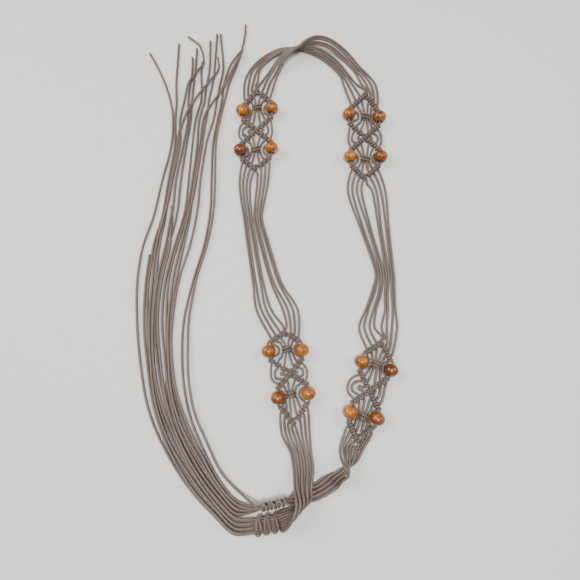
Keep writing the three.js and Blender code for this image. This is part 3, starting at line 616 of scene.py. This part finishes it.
def sinnet_points(sinnet, index):
    """A cord through the square-knot bar: the two outer cords tie round the six in the middle."""
    start = array(sinnet["start"])
    length = np.linalg.norm(array(sinnet["end"]) - start)
    along = unit(array(sinnet["end"]) - start)
    one = array(sinnet["one"])
    one = unit(one - along * (one @ along))
    up = np.cross(along, one)

    def place(x, y, z):
        return start + along * x + one * y + up * z

    if 0 < index < CORDS - 1:
        y = ((CORDS - 1) / 2 - index) * FILLER_PITCH
        return [(place(x, y, 0), 1) for x in np.linspace(0, length, FILLER_POINTS)]
    tie = FRONT_TIE if index == 0 else BACK_TIE
    pitch = length / SINNET_KNOTS
    points = []
    for knot in range(SINNET_KNOTS):
        base = (knot + 0.5) * pitch
        points += [(place(base + row["along"], row["across"], row["up"]), 1) for row in tie]
    points.append((place(length + BAR_LEAD, tie[0]["across"] * BAR_LEAD_SHARE, 0), 1))
    return points


def tail_points(tail, index):
    """A free tail from where it leaves its bar to its tip."""
    last = len(TAIL_BED) - 1
    points = []
    for number, row in enumerate(TAIL_BED[: tail["rows"]]):
        if number < BED_MIDDLE_ROW:
            share = tail["low"] + (tail["mid"] - tail["low"]) * number / BED_MIDDLE_ROW
        else:
            part = (number - BED_MIDDLE_ROW) / (last - BED_MIDDLE_ROW)
            share = tail["mid"] + (tail["high"] - tail["mid"]) * part
        outer, inner = array(row["outer"]), array(row["inner"])
        swing = math.sin(WANDER_STEP * number + WANDER_START * index)
        wander = tail["wander"] * swing * min(1, number / WANDER_ROWS)
        spot = outer + (inner - outer) * share + unit(inner - outer) * wander
        points.append((array((spot[0], spot[1], 1 + (index % 2) * row["stack"])), 0))
    points += [(array(point), 0) for point in tail["tip"]]
    return points


class Cord:
    """One cord over its whole length: points in millimetres, with the piece each stretch belongs to."""

    def __init__(self, index):
        self.index = index
        self.controls = []
        self.held = []
        self.pieces = []

    def add(self, piece, steps):
        for point, held in steps:
            self.controls.append(point)
            self.held.append(held)
            self.pieces.append(piece)

    def curve(self, number, held):
        """Points on a smooth curve from one control point up to the next."""
        controls = self.controls
        p1, p2 = controls[number], controls[number + 1]
        p0 = controls[number - 1] if number else 2 * p1 - p2
        p3 = controls[number + 2] if number + 2 < len(controls) else 2 * p2 - p1
        length = np.linalg.norm(p2 - p1)
        count = max(1, math.ceil(length / (KNOT_STEP if held or length < SHORT_STRETCH else LOOSE_STEP)))
        legs = (p1 - p0, p2 - p1, p3 - p2)
        k0, k1, k2 = (max(np.linalg.norm(leg), 1e-6) ** 0.5 for leg in legs)
        m1 = (p1 - p0) / k0 - (p2 - p0) / (k0 + k1) + (p2 - p1) / k1
        m2 = (p2 - p1) / k1 - (p3 - p1) / (k1 + k2) + (p3 - p2) / k2
        t1, t2 = m1 * k1, m2 * k1
        points = []
        for step in range(count):
            t = step / count
            h1 = 2 * t**3 - 3 * t**2 + 1
            h2 = t**3 - 2 * t**2 + t
            points.append(p1 * h1 + t1 * h2 + p2 * (1 - h1) + t2 * (t**3 - t**2))
        return points

    def trace(self):
        """Follows the control points with a smooth curve, and eases what is loose inside the panels."""
        points, held, stretch = [], [], []
        for number in range(len(self.controls) - 1):
            both = self.held[number] and self.held[number + 1]
            curve = self.curve(number, both)
            own, after = self.pieces[number], self.pieces[number + 1]
            points += curve
            held += [self.held[number]] + [both] * (len(curve) - 1)
            stretch += [own if own.startswith(LOOSE) else after] * len(curve)
        self.points = np.array(points + [self.controls[-1]])
        self.fixed = np.array(held + [self.held[-1]], bool)
        self.stretch = stretch
        in_panel = np.array([piece.startswith("panel") for piece in stretch] + [False])
        slack = np.flatnonzero(in_panel & ~self.fixed)
        for _ in range(EASE_ROUNDS):
            beside = self.points[slack - 1] + self.points[slack + 1]
            self.points[slack] = 0.5 * self.points[slack] + 0.25 * beside


def lay_cords(panels):
    """The eight cords from the tips of one bunch of tails to the tips of the other."""
    strands = {name: panel.strands() for name, panel in panels.items()}
    cords = []
    for index in range(CORDS):
        cord = Cord(index)
        upper = CORDS - 1 - index
        cord.add("fringe_lower", tail_points(TAILS_LOWER[index], index)[::-1])
        cord.add("sinnet_lower", sinnet_points(SINNETS["lower"], index)[::-1])
        cord.add("end_c", section_points(END_C, index)[::-1])
        cord.add("panel_c", strands["c"][index][::-1])
        cord.add("span_a_c", section_points(SPAN_A_C, index)[::-1])
        cord.add("panel_a", strands["a"][index][::-1])
        cord.add("arch_a_b", section_points(ARCH_A_B, index))
        cord.add("panel_b", strands["b"][index])
        cord.add("span_b_d", section_points(SPAN_B_D, index))
        cord.add("panel_d", strands["d"][index])
        cord.add("end_d", section_points(END_D, index))
        cord.add("sinnet_upper", sinnet_points(SINNETS["upper"], index))
        cord.add("fringe_upper", tail_points(TAILS_UPPER[upper], upper))
        cord.trace()
        cords.append(cord)
    return cords


def near_pairs(points, owner, along, reach):
    """Pairs of cord points that are close to each other but not neighbours on one cord."""
    tree = kdtree.KDTree(len(points))
    for number, point in enumerate(points):
        tree.insert(point, number)
    tree.balance()
    firsts, seconds = [], []
    for number, point in enumerate(points):
        for _, other, _ in tree.find_range(point, reach):
            if other <= number:
                continue
            if owner[other] != owner[number] or along[other] - along[number] > PAIR_ALONG:
                firsts.append(number)
                seconds.append(other)
    return np.array(firsts, int), np.array(seconds, int)


def spread_shifts(points, start, inner):
    """Shares the shift of each loose point with its neighbours, so that the cords stay smooth."""
    moved = points - start
    moved[inner] = 0.5 * moved[inner] + 0.25 * (moved[inner - 1] + moved[inner + 1])
    points[inner] = start[inner] + moved[inner]


def push_apart(points, fixed, first, second):
    """Pushes pairs of points apart that are closer than a cord is thick. Held points don't give way."""
    gap = points[second] - points[first]
    distance = np.maximum(np.linalg.norm(gap, axis=1), 1e-6)
    short = np.maximum(0, 2 * CORD_RADIUS - distance)
    push = gap / distance[:, None] * short[:, None]
    total = np.zeros_like(points)
    count = np.zeros(len(points))
    hit = short > 0
    for own, other, sign in ((first, second, -1), (second, first, 1)):
        weight = np.where(fixed[own], 0, np.where(fixed[other], 1, 0.5))
        np.add.at(total, own[hit], sign * push[hit] * weight[hit, None])
        np.add.at(count, own[hit], 1)
    points += total / np.maximum(1, count * PUSH_SHARE)[:, None]


def settle(cords):
    """Moves the loose stretches apart until cords lie beside and on each other, above the floor."""
    points = np.vstack([cord.points for cord in cords])
    fixed = np.concatenate([cord.fixed for cord in cords])
    owner = np.concatenate([np.full(len(cord.points), cord.index) for cord in cords])
    steps = [np.linalg.norm(np.diff(c.points, axis=0, prepend=c.points[:1]), axis=1) for c in cords]
    along = np.concatenate([np.cumsum(step) for step in steps])
    start = points.copy()
    free = ~fixed
    same_cord = owner[1:] == owner[:-1]
    inner = np.flatnonzero(free & np.append(False, same_cord) & np.append(same_cord, False))
    for turn in range(SETTLE_ROUNDS):
        if turn % PAIR_ROUNDS == 0:
            first, second = near_pairs(points, owner, along, 2 * CORD_RADIUS + PAIR_MARGIN)
            loose = free[first] | free[second]
            first, second = first[loose], second[loose]
        if turn < SETTLE_ROUNDS - LAST_ROUNDS:
            spread_shifts(points, start, inner)
        push_apart(points, fixed, first, second)
        points[free & (points[:, 2] < CORD_RADIUS), 2] = CORD_RADIUS
    points[:, 2] = np.maximum(points[:, 2], np.where(free, CORD_RADIUS, KNOT_CORD_RADIUS))
    at = 0
    for cord in cords:
        cord.points = points[at: at + len(cord.points)]
        at += len(cord.points)


def cord_rings(cord, shift):
    """Rings of points round a cord and what goes with each of them, to be cut into runs."""
    points = cord.points
    tangents = np.gradient(points, axis=0)
    tangents /= np.linalg.norm(tangents, axis=1)[:, None]
    radius = np.where(cord.fixed, KNOT_CORD_RADIUS, CORD_RADIUS)
    window = 2 * RADIUS_BLEND + 1
    radius = np.convolve(np.pad(radius, RADIUS_BLEND, mode="edge"), np.ones(window) / window, mode="valid")
    # Any direction that the cord doesn't start in
    side = np.cross(tangents[0], (0.3, 0.2, 1))
    sides = np.empty_like(points)
    for number, tangent in enumerate(tangents):
        side = unit(side - tangent * (side @ tangent))
        sides[number] = side
    ups = np.cross(tangents, sides)
    angles = np.linspace(0, 2 * math.pi, CORD_SIDES, endpoint=False)[None, :, None]
    circles = np.cos(angles) * sides[:, None, :] + np.sin(angles) * ups[:, None, :]
    rings = points[:, None, :] + radius[:, None, None] * circles
    along = np.append(0, np.cumsum(np.linalg.norm(np.diff(points, axis=0), axis=1)))
    return {
        "rings": (rings + shift) / 1000, "middles": (points + shift) / 1000, "radius": radius / 1000,
        "along": along / MAP_LENGTH, "tangents": tangents,
    }


def store(mesh, name, domain, values):
    """Keeps a value for each face or point of a mesh, for its material to read."""
    layer = mesh.attributes.new(name, "FLOAT", domain)
    layer.data.foreach_set("value", np.array(values, np.float32))


def new_piece(name, mesh, material):
    piece = bpy.data.objects.new(name, mesh)
    bpy.context.scene.collection.objects.link(piece)
    mesh.materials.append(material)
    return piece


class CordMesh:
    """The mesh of one piece, made of runs of cord with domes where a cord ends."""

    def __init__(self):
        self.vertices, self.faces, self.uvs, self.tones = [], [], [], []
        self.total = 0

    def add_points(self, points):
        """Adds points and gives the number of the first."""
        self.vertices.append(points)
        self.total += len(points)
        return self.total - len(points)

    def add_run(self, run):
        sides = np.arange(CORD_SIDES)
        following = (sides + 1) % CORD_SIDES
        shape = (len(run["rings"]) - 1, CORD_SIDES)
        base = self.add_points(run["rings"].reshape(-1, 3))
        rows = np.arange(shape[0])[:, None] * CORD_SIDES + base
        a, b = rows + sides, rows + following
        quads = np.stack([a, b, b + CORD_SIDES, a + CORD_SIDES], axis=2).reshape(-1, 4)
        self.faces += quads.tolist()
        low = np.broadcast_to(run["along"][:-1, None], shape)
        high = np.broadcast_to(run["along"][1:, None], shape)
        left = np.broadcast_to(sides / CORD_SIDES, shape)
        right = left + 1 / CORD_SIDES
        corners = np.stack([low, left, low, right, high, right, high, left], axis=2)
        self.uvs.append(corners.reshape(-1, 2))
        self.tones += [run["tone"]] * len(quads)
        if run["starts"]:
            self.add_dome(run, 0, -1, base + sides)
        if run["ends"]:
            self.add_dome(run, -1, 1, base + shape[0] * CORD_SIDES + sides)

    def add_dome(self, run, end, outward, rim):
        """Closes a cord's end, with the ring of points rim, by a band and a fan."""
        middle, radius = run["middles"][end], run["radius"][end]
        out = run["tangents"][end] * outward * radius
        band_edge = middle + (run["rings"][end] - middle) * DOME_BAND_RADIUS + out * DOME_BAND_HEIGHT
        inner = self.add_points(band_edge) + np.arange(CORD_SIDES)
        tip = self.add_points((middle + out * DOME_HEIGHT)[None, :])
        for side in range(CORD_SIDES):
            after = (side + 1) % CORD_SIDES
            one, two = (side, after) if outward > 0 else (after, side)
            band = [rim[one], rim[two], inner[two], inner[one]]
            fan = [inner[one], inner[two], tip]
            self.faces += [band, fan]
            corner = [run["along"][end], side / CORD_SIDES]
            self.uvs.append(np.array([corner] * (len(band) + len(fan))))
            self.tones += [run["tone"]] * 2

    def make(self, name, material):
        mesh = bpy.data.meshes.new(name)
        mesh.from_pydata(np.vstack(self.vertices).tolist(), [], self.faces)
        layer = mesh.uv_layers.new(name="cord")
        layer.data.foreach_set("uv", np.vstack(self.uvs).astype(np.float32).ravel())
        store(mesh, "tone", "FACE", self.tones)
        mesh.polygons.foreach_set("use_smooth", np.ones(len(self.faces), bool))
        mesh.update()
        return new_piece(name, mesh, material)


def make_cords(cords, shift, material):
    """A piece for every CAD node that is made of cord."""
    meshes = {}
    for cord in cords:
        along_cord = cord_rings(cord, shift)
        stretch = cord.stretch
        last = len(stretch)
        starts = [0] + [n for n in range(1, last) if stretch[n] != stretch[n - 1]]
        for start, stop in zip(starts, starts[1:] + [last]):
            run = {key: values[start: stop + 1] for key, values in along_cord.items()}
            run["tone"] = tone_of(cord.index, CORD_TONE)
            run["starts"] = start == 0
            run["ends"] = stop == last
            meshes.setdefault(stretch[start], CordMesh()).add_run(run)
    for node, mesh in meshes.items():
        piece = mesh.make("cords_" + node, material)
        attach(piece, "root")
        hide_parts(node)


def deselect():
    bpy.ops.object.select_all(action="DESELECT")


def drill(bead):
    """Takes the ball's ends off as far as the hole's rims, and joins the rims by the hole's wall."""
    just_inside_rim = 0.99 * BEAD_RADIUS / 1000 * math.sin(math.pi * HOLE_RING / BALL_RINGS)
    bpy.ops.object.mode_set(mode="EDIT")
    bpy.ops.mesh.select_all(action="DESELECT")
    mesh = bmesh.from_edit_mesh(bead.data)
    for vertex in mesh.verts:
        if math.hypot(vertex.co.x, vertex.co.z) < just_inside_rim:
            vertex.select = True
    bmesh.update_edit_mesh(bead.data)
    bpy.ops.mesh.delete(type="VERT")
    mesh = bmesh.from_edit_mesh(bead.data)
    for edge in mesh.edges:
        edge.select = edge.is_boundary
    bmesh.update_edit_mesh(bead.data)
    bpy.ops.mesh.bridge_edge_loops()
    bpy.ops.mesh.select_all(action="SELECT")
    bpy.ops.mesh.normals_make_consistent(inside=False)
    bpy.ops.object.mode_set(mode="OBJECT")


def bead_model():
    """A turned bead with a drilled hole and eased rims, its hole along Y."""
    deselect()
    bpy.ops.mesh.primitive_uv_sphere_add(
        segments=BALL_SEGMENTS, ring_count=BALL_RINGS, radius=BEAD_RADIUS / 1000
    )
    bead = bpy.context.object
    bead.rotation_euler = (math.radians(90), 0, 0)
    bead.scale = (1, 1, BALL_LENGTH / (2 * BEAD_RADIUS))
    bpy.ops.object.transform_apply(location=False, rotation=True, scale=True)
    drill(bead)
    rim = bead.modifiers.new("rim", "BEVEL")
    rim.limit_method = "ANGLE"
    rim.angle_limit = math.radians(40)
    rim.width = RIM_WIDTH / 1000
    rim.segments = RIM_SEGMENTS
    bpy.ops.object.modifier_apply(modifier="rim")
    bpy.ops.object.shade_smooth()
    points = bead.data.vertices
    reach = [math.hypot(point.co.x, point.co.z) / (BEAD_RADIUS / 1000) for point in points]
    store(bead.data, "reach", "POINT", reach)
    return bead


def make_beads(panels, shift, material):
    """The beads on their cords, each turned another way round its hole."""
    model = bead_model()
    number = 0
    for panel in panels.values():
        turn = math.atan2(panel.across[1], panel.across[0])
        for bead, spot in zip(panel.beads, BEAD_PLACES):
            mesh = model.data.copy()
            centre = (panel.place(bead, BEAD_RADIUS) + shift) / 1000
            roll = Matrix.Rotation(BEAD_ROLL * number, 4, "Y")
            mesh.transform(Matrix.Translation(centre) @ Matrix.Rotation(turn, 4, "Z") @ roll)
            store(mesh, "tone", "POINT", [tone_of(number, BEAD_TONE)] * len(mesh.vertices))
            piece = new_piece(f"wood_bead_{panel.name}_{spot}", mesh, material)
            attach(piece, "root")
            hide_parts(f"bead_{panel.name}_{spot}")
            number += 1
    bpy.data.objects.remove(model)


class Wire:
    """A node's output in a material, so that sums of them read as arithmetic."""

    def __init__(self, tree, socket):
        self.tree = tree
        self.socket = socket

    def work_out(self, operation, other=0.0):
        node = self.tree.nodes.new("ShaderNodeMath")
        node.operation = operation
        for place, value in enumerate((self, other)):
            if isinstance(value, Wire):
                self.tree.links.new(value.socket, node.inputs[place])
            else:
                node.inputs[place].default_value = value
        return Wire(self.tree, node.outputs[0])

    def __add__(self, other):
        return self.work_out("ADD", other)

    def __mul__(self, other):
        return self.work_out("MULTIPLY", other)

    def __sub__(self, other):
        return self.work_out("SUBTRACT", other)

    def __rsub__(self, other):
        return (self * -1.0) + other

    __radd__ = __add__
    __rmul__ = __mul__

    def sine(self):
        return self.work_out("SINE")

    def larger(self, other):
        return self.work_out("MAXIMUM", other)

    def clamp(self, low=0.0, high=1.0):
        return self.larger(low).work_out("MINIMUM", high)


class Finish:
    """A material being made, with its surface shader."""

    def __init__(self, name):
        self.material = bpy.data.materials.new(name)
        self.material.use_nodes = True
        self.tree = self.material.node_tree
        self.surface = self.tree.nodes["Principled BSDF"]

    def node(self, kind, settings=None, inputs=None, output=0):
        """A node of one kind, with its settings first, and then the values or wires of its inputs."""
        node = self.tree.nodes.new("ShaderNode" + kind)
        for key, value in (settings or {}).items():
            if key == "stops":
                ramp = node.color_ramp
                while len(ramp.elements) < len(value):
                    ramp.elements.new(0.5)
                for element, (place, colour) in zip(ramp.elements, value):
                    element.position = place
                    element.color = (*colour, 1)
            else:
                setattr(node, key, value)
        for key, value in (inputs or {}).items():
            if isinstance(value, Wire):
                self.tree.links.new(value.socket, node.inputs[key])
            else:
                node.inputs[key].default_value = value
        return Wire(self.tree, node.outputs[output])

    def split(self, vector):
        node = self.tree.nodes.new("ShaderNodeSeparateXYZ")
        self.tree.links.new(vector.socket, node.inputs[0])
        return [Wire(self.tree, output) for output in node.outputs]

    def place(self):
        return self.node("TexCoord", output="Object")

    def attribute(self, name):
        return self.node("Attribute", {"attribute_name": name}, output="Fac")

    def noise(self, place, scale, detail, distortion=0.0):
        inputs = {"Vector": place, "Scale": scale, "Detail": detail, "Distortion": distortion}
        return self.node("TexNoise", None, inputs)

    def blend(self, share, first, second):
        """A mix of two colours. A Mix node's colours are its inputs 6 and 7, and its output 2."""
        return self.node("Mix", {"data_type": "RGBA"}, {0: share, 6: first, 7: second}, output=2)

    def bump(self, height, strength, distance):
        return self.node("Bump", None, {"Height": height, "Strength": strength, "Distance": distance})

    def set(self, **values):
        for key, value in values.items():
            socket = self.surface.inputs[key.replace("_", " ")]
            if isinstance(value, Wire):
                self.tree.links.new(value.socket, socket)
            else:
                socket.default_value = value


def cord_finish():
    """Waxed braided cord: a fine diamond braid with painted shade in its grooves, a soft shine and small
    changes of tone.
    """
    dark = (0.055, 0.037, 0.028, 1)
    middle = (0.15, 0.104, 0.078, 1)
    light = (0.38, 0.29, 0.225, 1)
    finish = Finish("waxed cord")
    along, around, _ = finish.split(finish.node("UVMap", {"uv_map": "cord"}))
    turn = around * (2 * math.pi * BRAID_STRANDS)
    travel = along * (2 * math.pi * MAP_LENGTH / BRAID_PITCH)
    braid = (travel + turn).sine().larger((travel - turn).sine()) * 0.5 + 0.5
    place = finish.place()
    fibres = finish.noise(place, 2600.0, 3.0)
    patches = finish.noise(place, 60.0, 2.0)
    # Painted shade: the braid's grooves are painted darker, mixed with the cord's own changes of tone from
    # the noise and each cord's tone.
    groove_shade_and_tone = (braid * 0.55 + fibres * 0.5 + patches * 0.35 + finish.attribute("tone") * 0.12 - 0.2).clamp()
    specks = ((fibres - 0.56) * 5.0).clamp() * 0.55
    finish.set(
        Base_Color=finish.blend(specks, finish.blend(groove_shade_and_tone, dark, middle), light),
        Roughness=(0.54 - braid * 0.14 - patches * 0.08),
        Normal=finish.bump(braid * 0.8 + fibres * 0.35, 0.6, 0.00016),
        Specular_IOR_Level=0.5,
        Sheen_Weight=0.12,
        Sheen_Roughness=0.5,
    )
    return finish.material


def bead_finish():
    """Stained and varnished wood, with its grain along the hole and painted shade in and round the hole."""
    stain = [
        (0.3, (0.04, 0.007, 0.0004)),
        (0.43, (0.16, 0.036, 0.0006)),
        (0.55, (0.33, 0.092, 0.001)),
        (0.72, (0.52, 0.175, 0.003)),
    ]
    hole_shade_colour = (0.06, 0.016, 0.005, 1)
    finish = Finish("varnished wood")
    place = finish.place()
    stretched = finish.node("Mapping", None, {"Vector": place, "Scale": (1.0, 0.16, 1.0)})
    grain = finish.noise(stretched, 900.0, 5.0, 0.6)
    broad = finish.noise(place, 130.0, 3.0, 0.8)
    mixed = grain * 0.5 + broad * 0.5 + finish.attribute("tone") * 0.16 - 0.08
    # Painted shade: the wood is painted darker in the hole and round its mouths, where the drilled recess
    # lies in shade.
    rim = (1.0 - ((finish.attribute("reach") - 0.3) * 3.2).clamp()) * 0.5
    stained = finish.node("ValToRGB", {"stops": stain}, {"Fac": mixed})
    finish.set(
        Base_Color=finish.blend(rim, stained, hole_shade_colour),
        Roughness=(0.3 + grain * 0.14),
        Normal=finish.bump(grain * 0.5 + broad * 0.5, 0.25, 0.0001),
        Coat_Weight=0.45,
        Coat_Roughness=0.12,
    )
    return finish.material


def floor_finish():
    finish = Finish("pale floor")
    finish.set(Base_Color=(0.74, 0.73, 0.71, 1), Roughness=0.75, Specular_IOR_Level=0.2)
    return finish.material


def make_floor():
    deselect()
    bpy.ops.mesh.primitive_plane_add(size=FLOOR_SIZE, location=(0, 0, -FLOOR_DROP))
    floor = bpy.context.object
    floor.name = "floor"
    floor.data.materials.append(floor_finish())


def aim(thing, place, target):
    thing.location = place
    thing.rotation_mode = "QUATERNION"
    thing.rotation_quaternion = (Vector(target) - Vector(place)).to_track_quat("-Z", "Y")


def make_lights(target):
    for name, row in LIGHTS.items():
        light = bpy.data.lights.new(name, "AREA")
        light.shape = "RECTANGLE"
        light.size, light.size_y = row["size"]
        light.energy = row["power"]
        lamp = bpy.data.objects.new(name, light)
        bpy.context.scene.collection.objects.link(lamp)
        aim(lamp, row["place"], target)
    world = bpy.data.worlds.new("studio")
    world.use_nodes = True
    background = world.node_tree.nodes["Background"]
    background.inputs["Color"].default_value = SKY_COLOUR
    background.inputs["Strength"].default_value = SKY_STRENGTH
    bpy.context.scene.world = world


def make_camera(target):
    data = bpy.data.cameras.new("camera")
    data.lens = CAMERA_LENS
    data.sensor_width = CAMERA_SENSOR
    data.clip_start = CAMERA_NEAR
    camera = bpy.data.objects.new("camera", data)
    bpy.context.scene.collection.objects.link(camera)
    back = Vector((0, -math.cos(CAMERA_ELEVATION), math.sin(CAMERA_ELEVATION)))
    aim(camera, target + back * CAMERA_DISTANCE / 1000, target)
    bpy.context.scene.camera = camera


def main():
    panels = {name: Panel(name) for name in PANELS}
    # The belt is shifted to where its first bead is in the CAD model
    low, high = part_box("bead_a_upper_left")
    middle = np.array((low + high) / 2) * 1000
    shift = middle - panels["a"].place(panels["a"].beads[0], BEAD_RADIUS)
    target = Vector((shift[0] / 1000, shift[1] / 1000, 0))
    make_camera(target)
    make_lights(target)
    make_floor()
    cords = lay_cords(panels)
    settle(cords)
    make_cords(cords, shift, cord_finish())
    make_beads(panels, shift, bead_finish())


main()
